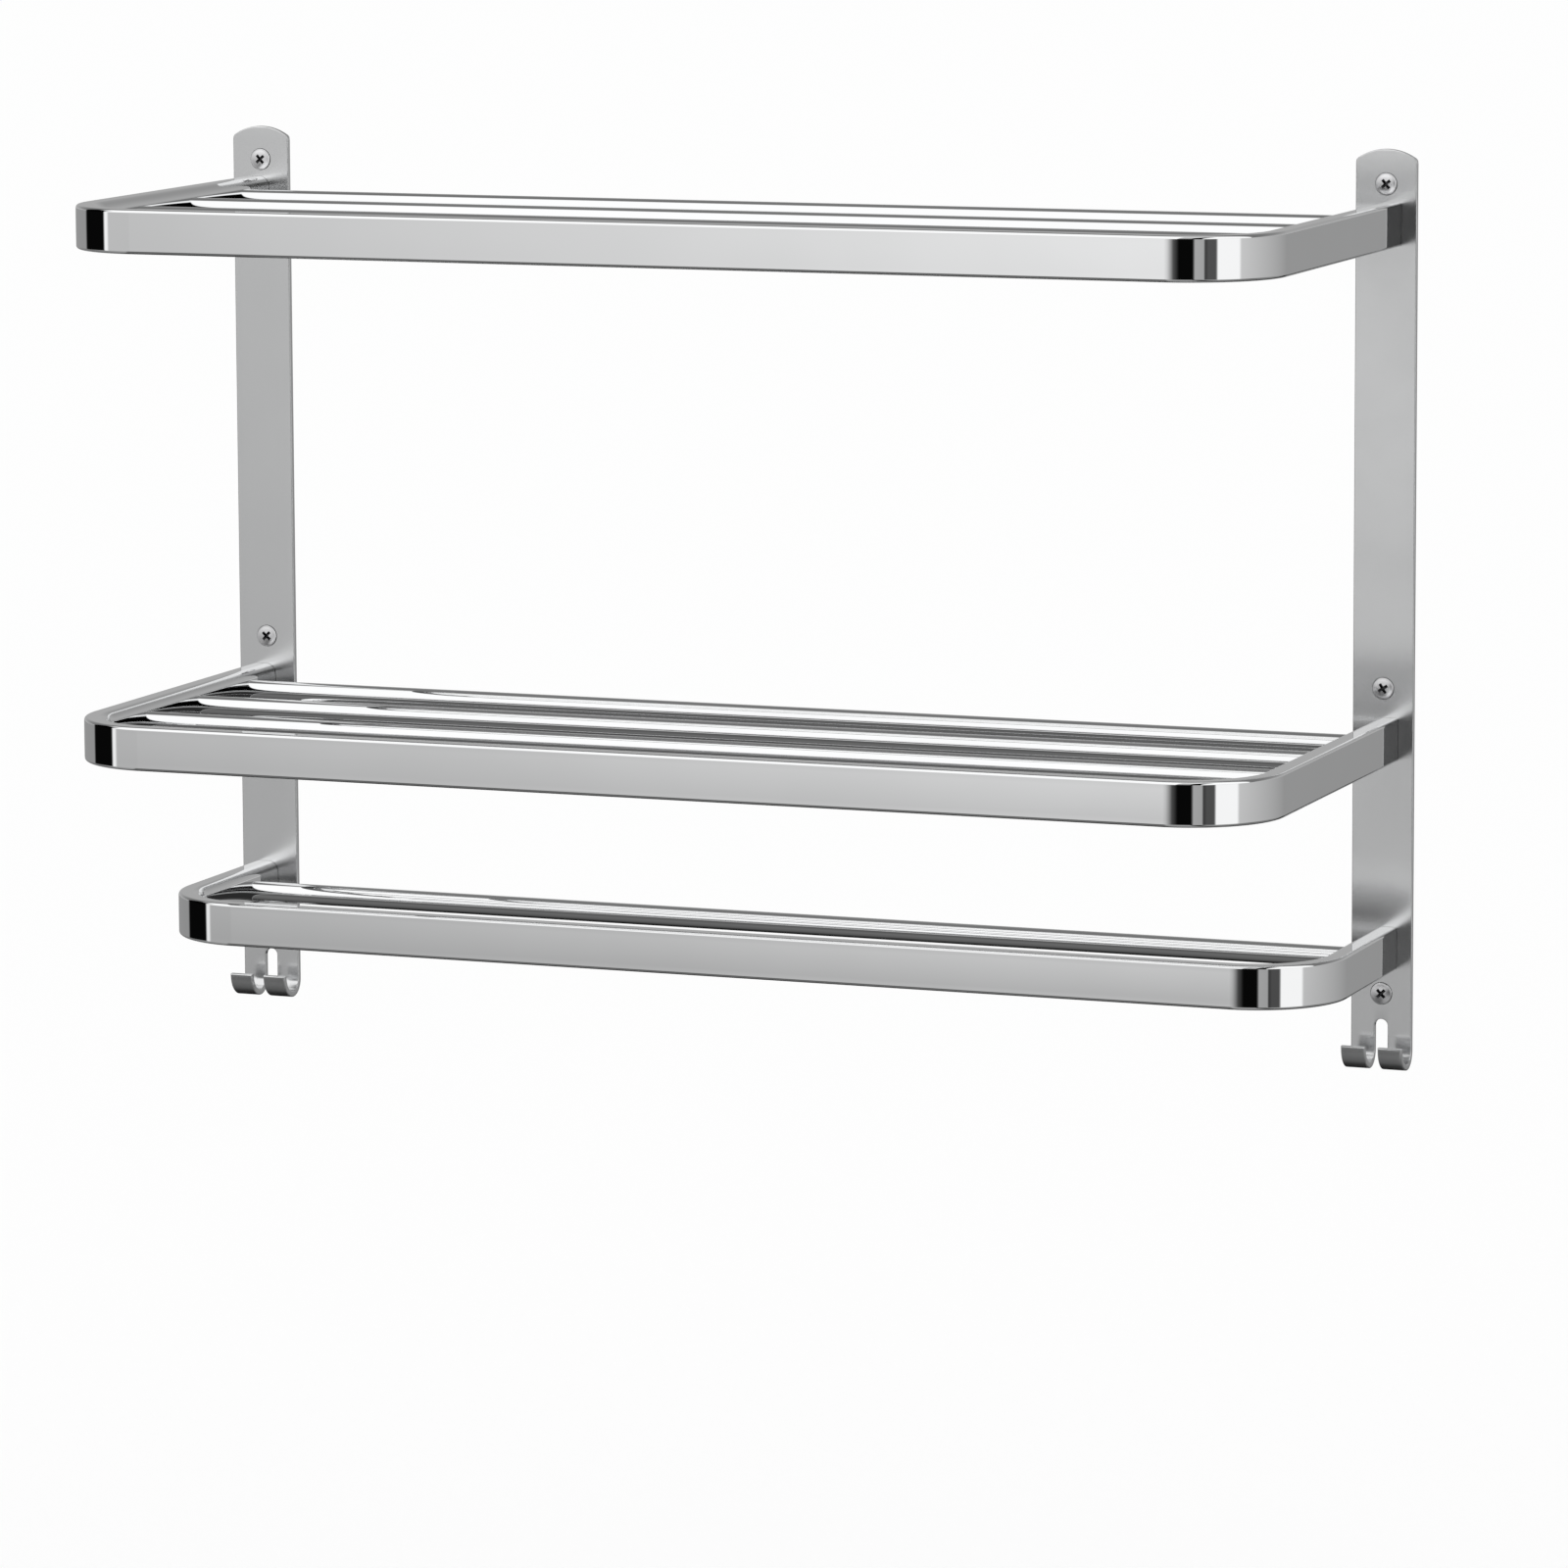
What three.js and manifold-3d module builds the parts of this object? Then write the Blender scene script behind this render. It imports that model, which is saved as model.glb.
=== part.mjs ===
// Wall-mounted towel rack: two bent wall strips carry two rod shelves and a towel rail.
// Millimetres. X runs to the right, Y into the wall, Z up. The wall plane is y = 0 and the
// lowest point of the hooks is z = 0, midway between the two strips at x = 0.
import * as THREE from 'three';
import { mergeVertices } from 'three/addons/utils/BufferGeometryUtils.js';
import Module from 'manifold-3d';

const wasm = await Module();
wasm.setup();
const { Manifold, Mesh: SolidMesh, CrossSection } = wasm;

// Wall strips
const STRIP_X = 292.5;          // strip centre line, either side of the middle
const STRIP_W = 30;
const STRIP_T = 3;
const STRIP_TOP = 440;          // apex of the domed top
const DOME_RISE = 5;
const DOME_CORNER_R = 3;
const HOOK_BACK_R = 8.5;        // outer radius of the hook where it leaves the wall
const HOOK_FRONT_R = 11.5;      // and where it opens out towards its lip
const HOOK_REACH = HOOK_BACK_R + HOOK_FRONT_R;
const HOOK_TIP_Z = 12;
const SLOT_W = 6.4;
const SLOT_TOP = 23;

// Frames bent from tube that is flat outside and bowed inside
const FRAME_HALF_W = 300;       // middle of the rack to the outer face of an arm
const TUBE_T = 12;
const TUBE_H = 21;
const TUBE_WALL = 1.2;
const TUBE_EDGE_R = 1.5;        // edges of the flat outer face
const TUBE_SHOULDER_R = 5;      // edges of the bowed inner face
const TUBE_BOW_R = 90;          // bow of the inner face
const BEND_R = 45;              // outer face of the corner bend
const BEND_STEPS = 12;
const SHELF_FRONT = 230;        // wall to the outer face of the front bar
const RAIL_FRONT = 129;
const TOP_SHELF_Z = 415;        // top faces of the three frames
const MIDDLE_SHELF_Z = 169;
const TOWEL_RAIL_Z = 68;
const ARM_X = FRAME_HALF_W - TUBE_T / 2;

// Rods
const ROD_D = 10;
const ROD_WALL = 1;
const SHELF_ROD_DROP = 9.5;     // rod axis below the top face of its frame
const RAIL_ROD_DROP = TUBE_H / 2;
const ROD_ROWS = { rear: 33, middle: 91.5, front: 150 };
const ROD_END_GAP = 1.2;        // rod end to the inside of the arm's outer wall
const ROD_CHAMFER = 0.4;

// Fixings
const FIT_GAP = 0.3;
const WALL_SCREW_Z = { top: 423.5, middle: 183, bottom: 35.5 };
const WALL_SCREW = {
  head: 10.4, rim: 0.3, dome: 0.7, shank: 4, length: 25, tip: 4, pitch: 2.6, thread: 0.45,
};
const FRAME_SCREW = { head: 8, rim: 0.2, shank: 4, length: 16, tip: 1 };
const CROSS = { length: 5.4, width: 1.3, depth: 1.7, taper: 0.5 };
const CROSS_TURN = {
  left_top: 41, left_middle: 48, left_bottom: 36, right_top: 39, right_middle: 33, right_bottom: 45,
};
const PLUG_BLOCK = { length: 15, bore: 4.6 };
const WALL_PLUG = { outer: 6, collar: 7.6, collarT: 0.8, length: 24, bore: 5.2, slot: 1, ribs: 3, rib: 0.25 };

const FINE = 24;
const COARSE = 14;

function solidFrom(geometry) {
  const g = geometry.clone();
  g.deleteAttribute('uv');
  g.deleteAttribute('normal');
  const merged = mergeVertices(g, 1e-4);
  return new Manifold(new SolidMesh({
    numProp: 3,
    vertProperties: new Float32Array(merged.attributes.position.array),
    triVerts: new Uint32Array(merged.index.array),
  }));
}

function meshFrom(name, solid, colour, metalness, roughness) {
  const m = solid.getMesh();
  const g = new THREE.BufferGeometry();
  g.setAttribute('position', new THREE.BufferAttribute(new Float32Array(m.vertProperties), 3));
  g.setIndex(new THREE.BufferAttribute(new Uint32Array(m.triVerts), 1));
  g.computeVertexNormals();
  const mesh = new THREE.Mesh(g, new THREE.MeshStandardMaterial({ color: colour, metalness, roughness }));
  mesh.name = name;
  return mesh;
}

const chrome = (name, solid) => meshFrom(name, solid, 0xc9ccce, 1, 0.08);
const zinc = (name, solid) => meshFrom(name, solid, 0xa9acb0, 1, 0.35);
const nylon = (name, solid) => meshFrom(name, solid, 0xd8d6cf, 0, 0.6);

// A solid of revolution about Y. The profile is [radius, y] pairs from axis to axis.
function turned(profile, segments) {
  const points = profile.map(([r, y]) => new THREE.Vector2(r, y));
  return solidFrom(new THREE.LatheGeometry(points, segments));
}

// The tube's section, drawn in from its outer skin by an inset. u runs outward, v up.
function tubeSection(inset, steps) {
  const half = TUBE_H / 2;
  const bowU = TUBE_BOW_R - TUBE_T / 2;
  const lift = Math.asin((half - TUBE_SHOULDER_R) / (TUBE_BOW_R - TUBE_SHOULDER_R));
  const shoulderU = bowU - (TUBE_BOW_R - TUBE_SHOULDER_R) * Math.cos(lift);
  const turn = THREE.MathUtils.radToDeg(lift);
  const edge = [TUBE_T / 2 - TUBE_EDGE_R, half - TUBE_EDGE_R];
  const shoulderV = half - TUBE_SHOULDER_R;
  const arcs = [
    [edge[0], edge[1], TUBE_EDGE_R, 0, 90],
    [shoulderU, shoulderV, TUBE_SHOULDER_R, 90, 180 - turn],
    [bowU, 0, TUBE_BOW_R, 180 - turn, 180 + turn],
    [shoulderU, -shoulderV, TUBE_SHOULDER_R, 180 + turn, 270],
    [edge[0], -edge[1], TUBE_EDGE_R, 270, 360],
  ];
  const ring = [];
  for (const [u, v, radius, from, to] of arcs) {
    const first = radius === TUBE_EDGE_R || from === 90 ? 0 : 1;
    for (let i = first; i <= steps; i += 1) {
      const a = THREE.MathUtils.degToRad(from + ((to - from) * i) / steps);
      ring.push([u + (radius - inset) * Math.cos(a), v + (radius - inset) * Math.sin(a)]);
    }
  }
  return ring;
}

// Stations along the U: a point on the centre line and the outward direction there.
function uStations(frontY, endY) {
  const r = BEND_R - TUBE_T / 2;
  const cx = ARM_X - r;
  const cy = -frontY + TUBE_T / 2 + r;
  const stations = [{ x: ARM_X, y: -endY, ox: 1, oy: 0 }];
  for (const [side, from] of [[1, 0], [-1, 90]]) {
    for (let i = 0; i <= BEND_STEPS; i += 1) {
      const a = THREE.MathUtils.degToRad(from + (90 * i) / BEND_STEPS);
      const [ox, oy] = [Math.cos(a), -Math.sin(a)];
      stations.push({ x: side * cx + r * ox, y: cy + r * oy, ox, oy });
    }
  }
  stations.push({ x: -ARM_X, y: -endY, ox: -1, oy: 0 });
  return stations;
}

function sweep(stations, ring, midZ) {
  const n = ring.length;
  const positions = [];
  for (const s of stations) {
    for (const [u, v] of ring) positions.push(s.x + u * s.ox, s.y + u * s.oy, midZ + v);
  }
  const index = [];
  for (let i = 0; i + 1 < stations.length; i += 1) {
    for (let j = 0; j < n; j += 1) {
      const [a, b] = [i * n + j, i * n + ((j + 1) % n)];
      index.push(a, b, a + n, b, b + n, a + n);
    }
  }
  const last = (stations.length - 1) * n;
  for (let j = 1; j + 1 < n; j += 1) {
    index.push(0, j + 1, j, last, last + j, last + j + 1);
  }
  const g = new THREE.BufferGeometry();
  g.setAttribute('position', new THREE.Float32BufferAttribute(positions, 3));
  g.setIndex(index);
  return solidFrom(g);
}

function alongX(radius, x0, x1, y, z, segments) {
  return Manifold.cylinder(x1 - x0, radius, radius, segments).rotate([0, 90, 0]).translate([x0, y, z]);
}

function alongY(radius, y0, y1, x, z, segments) {
  return Manifold.cylinder(y1 - y0, radius, radius, segments).rotate([-90, 0, 0]).translate([x, y0, z]);
}

// A bent tube open at both wall ends, with a hole in each inner wall for every rod.
function bentFrame(frontY, topZ, rodRows, rodDrop) {
  const endY = STRIP_T + FIT_GAP;
  const midZ = topZ - TUBE_H / 2;
  const outer = sweep(uStations(frontY, endY), tubeSection(0, 4), midZ);
  const bore = sweep(uStations(frontY, endY - 1), tubeSection(TUBE_WALL, 2), midZ);
  let tube = outer.subtract(bore);
  const holeReach = ARM_X - TUBE_T / 4;
  for (const y of rodRows) {
    for (const side of [-1, 1]) {
      const [x0, x1] = [side * holeReach, side * (ARM_X - TUBE_T)].sort((a, b) => a - b);
      tube = tube.subtract(alongX(ROD_D / 2 + FIT_GAP, x0, x1, -y, topZ - rodDrop, FINE));
    }
  }
  return tube;
}

// A round tube whose open ends stand inside the frame's arms.
function rod(y, z) {
  const half = FRAME_HALF_W - TUBE_WALL - ROD_END_GAP;
  const r = ROD_D / 2;
  const profile = [[0, -half], [r - ROD_CHAMFER, -half], [r, -half + ROD_CHAMFER],
    [r, half - ROD_CHAMFER], [r - ROD_CHAMFER, half], [0, half]];
  const outside = turned(profile, FINE).rotate([0, 0, 90]);
  const hollow = alongX(r - ROD_WALL, -half - 1, half + 1, 0, 0, COARSE);
  return outside.subtract(hollow).translate([0, -y, z]);
}

// The strip's side view in Y and Z: a flat bar whose foot rolls forward and up into a hook.
function stripSide() {
  const steps = 7;
  const points = [[0, STRIP_TOP], [-STRIP_T, STRIP_TOP]];
  const arc = (bendR, inset, from, to, first) => {
    for (let i = first; i <= steps; i += 1) {
      const a = THREE.MathUtils.degToRad(from + ((to - from) * i) / steps);
      const radius = bendR - inset;
      points.push([-HOOK_BACK_R + radius * Math.cos(a), bendR + radius * Math.sin(a)]);
    }
  };
  arc(HOOK_BACK_R, STRIP_T, 0, -90, 0);
  arc(HOOK_FRONT_R, STRIP_T, -90, -180, 1);
  points.push([-HOOK_REACH + STRIP_T, HOOK_TIP_Z], [-HOOK_REACH, HOOK_TIP_Z]);
  arc(HOOK_FRONT_R, 0, -180, -90, 0);
  arc(HOOK_BACK_R, 0, -90, 0, 1);
  return CrossSection.ofPolygons([points]);
}

// The strip's front view in X and Z, centred on x = 0, with the domed top and the slot.
function stripFront() {
  const half = STRIP_W / 2;
  const domeR = (half * half + DOME_RISE * DOME_RISE) / (2 * DOME_RISE);
  const domeZ = STRIP_TOP - domeR;
  const bar = CrossSection.square([STRIP_W, STRIP_TOP + 1]).translate([-half, -1]);
  const dome = CrossSection.circle(domeR, 72).translate([0, domeZ])
    .add(CrossSection.square([STRIP_W, domeZ + 1]).translate([-half, -1]));
  const slotR = SLOT_W / 2;
  const slot = CrossSection.square([SLOT_W, SLOT_TOP - slotR + 2]).translate([-slotR, -2])
    .add(CrossSection.circle(slotR, FINE).translate([0, SLOT_TOP - slotR]));
  const outline = bar.intersect(dome);
  const softened = outline.offset(-DOME_CORNER_R, 'Round', 2, FINE)
    .offset(DOME_CORNER_R, 'Round', 2, FINE);
  const foot = CrossSection.square([STRIP_W, STRIP_TOP / 2]).translate([-half, -1]);
  return softened.add(foot).subtract(slot);
}

function countersink(topR, holeR, x, z, mouthY, towardWall) {
  const depth = topR - holeR;
  const cone = Manifold.cylinder(depth, topR, holeR, FINE);
  const turned90 = towardWall ? cone.rotate([-90, 0, 0]) : cone.rotate([90, 0, 0]);
  return turned90.translate([x, mouthY, z]).add(alongY(holeR, -STRIP_T - 1, 1, x, z, FINE));
}

function wallStrip(side) {
  const x = side * STRIP_X;
  const armX = side * ARM_X;
  // Extrusions run along +Z, so each view is laid over into place.
  const sideBody = stripSide().extrude(STRIP_W).rotate([90, 0, 90]).translate([x - STRIP_W / 2, 0, 0]);
  const frontBody = stripFront().extrude(HOOK_REACH + 2).rotate([90, 0, 0]).translate([x, 1, 0]);
  let strip = sideBody.intersect(frontBody);
  for (const z of Object.values(WALL_SCREW_Z)) {
    const mouth = WALL_SCREW.head / 2 + FIT_GAP;
    strip = strip.subtract(countersink(mouth, WALL_SCREW.shank / 2 + 0.6, x, z, -STRIP_T, true));
  }
  for (const top of [TOP_SHELF_Z, MIDDLE_SHELF_Z, TOWEL_RAIL_Z]) {
    const z = top - TUBE_H / 2;
    const mouth = FRAME_SCREW.head / 2 + FRAME_SCREW.rim + 2 * FIT_GAP;
    strip = strip.subtract(countersink(mouth, FRAME_SCREW.shank / 2 + FIT_GAP, armX, z, 0, false));
  }
  return strip;
}

// A cross recess pressed into a head whose face is at y = 0, driven from -Y.
function crossRecess(faceY, turnDeg) {
  const { length, width, depth, taper } = CROSS;
  const arm = CrossSection.square([length, width], true).extrude(depth + 1, 0, 0, [taper, taper]);
  return arm.add(arm.rotate([0, 0, 90])).rotate([0, 0, turnDeg])
    .rotate([-90, 0, 0]).translate([0, faceY - 1, 0]);
}

// Raised countersunk wood screw. Its head rim sits level with the strip's front face.
function wallScrew(x, z, turnDeg) {
  const { head, rim, dome, shank, length, tip, pitch, thread } = WALL_SCREW;
  const r = head / 2;
  const core = shank / 2 - thread;
  const rimY = -STRIP_T - FIT_GAP / 2;
  const profile = [[0, rimY - rim - dome]];
  for (const f of [0.35, 0.65, 0.88]) profile.push([r * f, rimY - rim - dome * (1 - f * f)]);
  profile.push([r, rimY - rim], [r, rimY]);
  const neckY = rimY + r - core;
  profile.push([core, neckY]);
  const start = neckY + pitch;
  const end = rimY + length - tip;
  const turns = Math.floor((end - start) / pitch);
  for (let i = 0; i < turns; i += 1) {
    const y = start + i * pitch;
    profile.push([core, y], [shank / 2, y + pitch * 0.35], [core, y + pitch * 0.7]);
  }
  profile.push([core, end], [0, end + tip]);
  const cut = crossRecess(rimY - rim - dome, turnDeg);
  return turned(profile, COARSE).subtract(cut).translate([x, 0, z]);
}

// Countersunk machine screw driven from the back of the strip into an end plug.
function frameScrew(x, z) {
  const { head, rim, shank, length, tip } = FRAME_SCREW;
  const faceY = -FIT_GAP;
  const r = head / 2;
  const profile = [
    [0, faceY - length], [shank / 2 - tip / 2, faceY - length], [shank / 2, faceY - length + tip],
    [shank / 2, faceY - rim - (r - shank / 2)], [r, faceY - rim], [r, faceY], [0, faceY],
  ];
  const cut = crossRecess(-faceY, 45).mirror([0, 1, 0]);
  return turned(profile, COARSE).subtract(cut).translate([x, 0, z]);
}

// A short block that fills the end of a tube and takes the frame screw.
function endPlug(side, z) {
  const x = side * ARM_X;
  const y = -STRIP_T - FIT_GAP;
  const section = CrossSection.ofPolygons([tubeSection(TUBE_WALL + FIT_GAP, 3)]);
  const facing = side > 0 ? section : section.mirror([1, 0]);
  const body = facing.extrude(PLUG_BLOCK.length).rotate([90, 0, 0]).translate([x, y, z]);
  return body.subtract(alongY(PLUG_BLOCK.bore / 2, y - PLUG_BLOCK.length - 1, y + 1, x, z, COARSE));
}

// Split nylon plug with a collar that seats against the wall.
function wallPlug(x, z) {
  const { outer, collar, collarT, length, bore, slot, ribs, rib } = WALL_PLUG;
  const y0 = FIT_GAP;
  const r = outer / 2;
  const profile = [[0, y0], [collar / 2, y0], [collar / 2, y0 + collarT], [r, y0 + collarT]];
  const step = (length * 0.75) / ribs;
  for (let i = 0; i < ribs; i += 1) {
    const y = y0 + collarT + 1 + i * step;
    profile.push([r, y], [r + rib, y + step * 0.8], [r, y + step * 0.8 + 0.01]);
  }
  profile.push([r, y0 + length - 2], [r * 0.7, y0 + length], [0, y0 + length]);
  const hollow = alongY(bore / 2, y0 - 1, y0 + length + 1, 0, 0, COARSE);
  const split = Manifold.cube([slot, length, collar * 2], true)
    .translate([0, y0 + collarT + 2.5 + length / 2, 0]);
  const halves = turned(profile, COARSE).subtract(hollow);
  return halves.subtract(split.rotate([0, 45, 0])).translate([x, 0, z]);
}

function build() {
  const rack = new THREE.Group();
  rack.name = 'towel_rack';
  const shelfRows = Object.values(ROD_ROWS);
  rack.add(chrome('top_shelf_frame', bentFrame(SHELF_FRONT, TOP_SHELF_Z, shelfRows, SHELF_ROD_DROP)));
  rack.add(chrome('middle_shelf_frame', bentFrame(SHELF_FRONT, MIDDLE_SHELF_Z, shelfRows, SHELF_ROD_DROP)));
  rack.add(chrome('towel_rail_frame', bentFrame(RAIL_FRONT, TOWEL_RAIL_Z, [ROD_ROWS.rear], RAIL_ROD_DROP)));
  for (const [row, y] of Object.entries(ROD_ROWS)) {
    rack.add(chrome(`top_shelf_rod_${row}`, rod(y, TOP_SHELF_Z - SHELF_ROD_DROP)));
    rack.add(chrome(`middle_shelf_rod_${row}`, rod(y, MIDDLE_SHELF_Z - SHELF_ROD_DROP)));
  }
  rack.add(chrome('towel_rail_rod', rod(ROD_ROWS.rear, TOWEL_RAIL_Z - RAIL_ROD_DROP)));
  const frames = { top_shelf: TOP_SHELF_Z, middle_shelf: MIDDLE_SHELF_Z, towel_rail: TOWEL_RAIL_Z };
  for (const [hand, side] of [['left', -1], ['right', 1]]) {
    rack.add(chrome(`${hand}_wall_strip`, wallStrip(side)));
    for (const [place, z] of Object.entries(WALL_SCREW_Z)) {
      const turn = CROSS_TURN[`${hand}_${place}`];
      rack.add(chrome(`${hand}_${place}_wall_screw`, wallScrew(side * STRIP_X, z, turn)));
      rack.add(nylon(`${hand}_${place}_wall_plug`, wallPlug(side * STRIP_X, z)));
    }
    for (const [frame, top] of Object.entries(frames)) {
      rack.add(zinc(`${frame}_${hand}_end_plug`, endPlug(side, top - TUBE_H / 2)));
      rack.add(zinc(`${frame}_${hand}_frame_screw`, frameScrew(side * ARM_X, top - TUBE_H / 2)));
    }
  }
  return rack;
}

export default build();
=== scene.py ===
import math

import bmesh
import bpy
from mathutils import Matrix, Vector


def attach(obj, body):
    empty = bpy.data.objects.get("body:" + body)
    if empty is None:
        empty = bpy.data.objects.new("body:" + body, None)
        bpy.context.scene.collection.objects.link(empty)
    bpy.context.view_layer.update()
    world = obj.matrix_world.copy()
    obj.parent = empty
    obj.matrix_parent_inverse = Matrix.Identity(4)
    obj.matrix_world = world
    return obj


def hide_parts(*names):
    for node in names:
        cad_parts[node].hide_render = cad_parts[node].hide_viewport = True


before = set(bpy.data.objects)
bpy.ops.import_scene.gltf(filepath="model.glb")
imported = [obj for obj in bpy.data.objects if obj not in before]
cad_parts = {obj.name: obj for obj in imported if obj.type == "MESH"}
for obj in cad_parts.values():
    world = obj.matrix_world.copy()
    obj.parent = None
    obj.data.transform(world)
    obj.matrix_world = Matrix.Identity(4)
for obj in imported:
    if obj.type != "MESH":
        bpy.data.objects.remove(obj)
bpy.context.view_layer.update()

MM = 0.001
BODY = "root"

# ---------------------------------------------------------------- sizes, in millimetres
STRIP_W, STRIP_T, STRIP_TOP, DOME_RISE = 30.0, 3.0, 440.0, 5.0
STRIP_X = 292.5
DOME_CORNER_H, DOME_CORNER_W = 2.5, 0.9
HOOK_BACK_R, HOOK_FRONT_R, HOOK_TIP_Z, HOOK_STEPS = 8.5, 11.5, 12.0, 20
SLOT_W, SLOT_TOP = 6.4, 23.0
STRIP_EDGE_R = 0.45
# Lengths of bar, at mid-thickness, in the hooks' back and front bends.
BACK_RUN = (HOOK_BACK_R - STRIP_T / 2) * math.pi / 2
FRONT_RUN = (HOOK_FRONT_R - STRIP_T / 2) * math.pi / 2
WALL_HOLE_R, SINK_GAP = 2.6, 0.25
FRAME_HOLE_R, FRAME_SINK_R, FRAME_SINK_DEPTH = 2.3, 4.8, 2.5
OVERCUT = 0.5

FRAME_HALF_W, TUBE_T, TUBE_H, TUBE_WALL, TUBE_EDGE_R = 300.0, 12.0, 21.0, 1.2, 1.5
TUBE_SHOULDER_R, TUBE_BOW_R = 5.0, 90.0
TUBE_CROWN = 0.03
BEND_R = 45.0
TUBE_END = 3.3
SHELF_FRONT, RAIL_FRONT = 230.0, 129.0
ARM_X = FRAME_HALF_W - TUBE_T / 2
TOPS = {"top_shelf": 415.0, "middle_shelf": 169.0, "towel_rail": 68.0}

ROD_R, SHELF_ROD_DROP, RAIL_ROD_DROP = 5.0, 9.5, TUBE_H / 2
ROD_ROWS = {"rear": 33.0, "middle": 91.5, "front": 150.0}

SCREW_Z = {"top": 423.5, "middle": 183.0, "bottom": 35.5}
CROSS_TURN = {
    "left_top": 41, "left_middle": 48, "left_bottom": 36,
    "right_top": 39, "right_middle": 33, "right_bottom": 45,
}
HEAD_R, HEAD_RIM, HEAD_DOME, HEAD_LIFT = 5.2, 0.3, 0.5, 0.15
CROSS_HALF, CROSS_HALF_T, CROSS_DEPTH, CROSS_TAPER = 3.0, 0.8, 2.0, 0.42
WOOD_SHANK_R, WOOD_CORE_R, WOOD_LENGTH, WOOD_TIP, WOOD_PITCH = 2.0, 1.55, 25.0, 4.0, 1.7
MACHINE_R, MACHINE_CORE_R, MACHINE_HEAD_R, MACHINE_LENGTH, MACHINE_PITCH = 2.0, 1.65, 4.0, 16.0, 0.7
WALL_GAP = 0.3
PLUG_LENGTH, PLUG_BORE_R, PLUG_COLLAR_R, PLUG_R, PLUG_BARB_R = 24.0, 2.6, 3.8, 2.9, 3.22
PLUG_BARBS, PLUG_BARB_STEP, PLUG_SLOT = 7, 2.6, (0.9, 19.0, 9.0)


# ---------------------------------------------------------------- mesh helpers
def link(name, mesh):
    """A new object with this mesh, in the scene."""
    obj = bpy.data.objects.new(name, mesh)
    bpy.context.scene.collection.objects.link(obj)
    return obj


def mesh_with_normals(name, verts, faces, normals):
    """A mesh in metres from millimetre points, with one normal for each corner of each face."""
    mesh = bpy.data.meshes.new(name)
    mesh.from_pydata([[c * MM for c in v] for v in verts], [], faces)
    mesh.polygons.foreach_set("use_smooth", [True] * len(mesh.polygons))
    mesh.normals_split_custom_set([n for face in normals for n in face])
    mesh.update()
    return mesh


def arc_points(cx, cy, r, start, end, steps):
    """Points on an arc, in degrees, as (x, y, normal x, normal y)."""
    for i in range(steps + 1):
        a = math.radians(start + (end - start) * i / steps)
        yield cx + r * math.cos(a), cy + r * math.sin(a), math.cos(a), math.sin(a)


def tube_ring(inset, steps=8):
    """The tube's section as (u, v, normal u, normal v), anticlockwise: flat outside, bowed inside."""
    half = TUBE_H / 2
    bow_u = TUBE_BOW_R - TUBE_T / 2
    lift = math.asin((half - TUBE_SHOULDER_R) / (TUBE_BOW_R - TUBE_SHOULDER_R))
    shoulder_u = bow_u - (TUBE_BOW_R - TUBE_SHOULDER_R) * math.cos(lift)
    shoulder_v, turn = half - TUBE_SHOULDER_R, math.degrees(lift)
    edge_u, edge_v = TUBE_T / 2 - TUBE_EDGE_R, half - TUBE_EDGE_R
    ring = list(arc_points(edge_u, edge_v, TUBE_EDGE_R - inset, 0, 90, steps))
    ring += arc_points(shoulder_u, shoulder_v, TUBE_SHOULDER_R - inset, 90, 180 - turn, steps)
    ring += list(arc_points(bow_u, 0, TUBE_BOW_R - inset, 180 - turn, 180 + turn, steps))[1:-1]
    ring += arc_points(shoulder_u, -shoulder_v, TUBE_SHOULDER_R - inset, 180 + turn, 270, steps)
    ring += arc_points(edge_u, -edge_v, TUBE_EDGE_R - inset, 270, 360, steps)
    # The outer face is very slightly crowned.
    for i in range(1, steps):
        t = 2 * i / steps - 1
        n = Vector((1, 2 * TUBE_CROWN * t / edge_v)).normalized()
        ring.append((TUBE_T / 2 - inset + TUBE_CROWN * (1 - t * t), t * edge_v, n.x, n.y))
    return ring


def u_stations(front, steps=40):
    """Points along a U-shaped centre line as (x, y, outward x, outward y)."""
    r = BEND_R - TUBE_T / 2
    cx, cy = ARM_X - r, -front + TUBE_T / 2 + r
    stations = [(ARM_X, -TUBE_END, 1.0, 0.0)]
    for side, start in ((1, 0), (-1, 90)):
        for i in range(steps + 1):
            a = math.radians(start + 90 * i / steps)
            ox, oy = math.cos(a), -math.sin(a)
            stations.append((side * cx + r * ox, cy + r * oy, ox, oy))
    stations.append((-ARM_X, -TUBE_END, -1.0, 0.0))
    return stations


def bent_tube(name, front, top):
    """An open-ended flat tube bent to a U, with true normals on its faces, edges and bends."""
    stations = u_stations(front)
    mid = top - TUBE_H / 2
    verts, faces, normals, bases = [], [], [], []
    for ring, sense in ((tube_ring(0), 1), (tube_ring(TUBE_WALL), -1)):
        n, base = len(ring), len(verts)
        bases.append(base)
        vert_normals = []
        for x, y, ox, oy in stations:
            for u, v, nu, nv in ring:
                verts.append((x + u * ox, y + u * oy, mid + v))
                vert_normals.append((sense * nu * ox, sense * nu * oy, sense * nv))
        for i in range(len(stations) - 1):
            for j in range(n):
                k = (j + 1) % n
                quad = [i * n + j, i * n + k, (i + 1) * n + k, (i + 1) * n + j]
                if sense < 0:
                    quad.reverse()
                faces.append([base + q for q in quad])
                normals.append([vert_normals[q] for q in quad])
    # The two open ends, as rings between the outer and inner walls.
    outer, inner = bases
    last = (len(stations) - 1) * n
    for j in range(n):
        k = (j + 1) % n
        faces.append([outer + k, outer + j, inner + j, inner + k])
        faces.append([outer + last + j, outer + last + k, inner + last + k, inner + last + j])
        normals.extend([[(0, 1, 0)] * 4, [(0, 1, 0)] * 4])
    return link(name, mesh_with_normals(name, verts, faces, normals))


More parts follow.
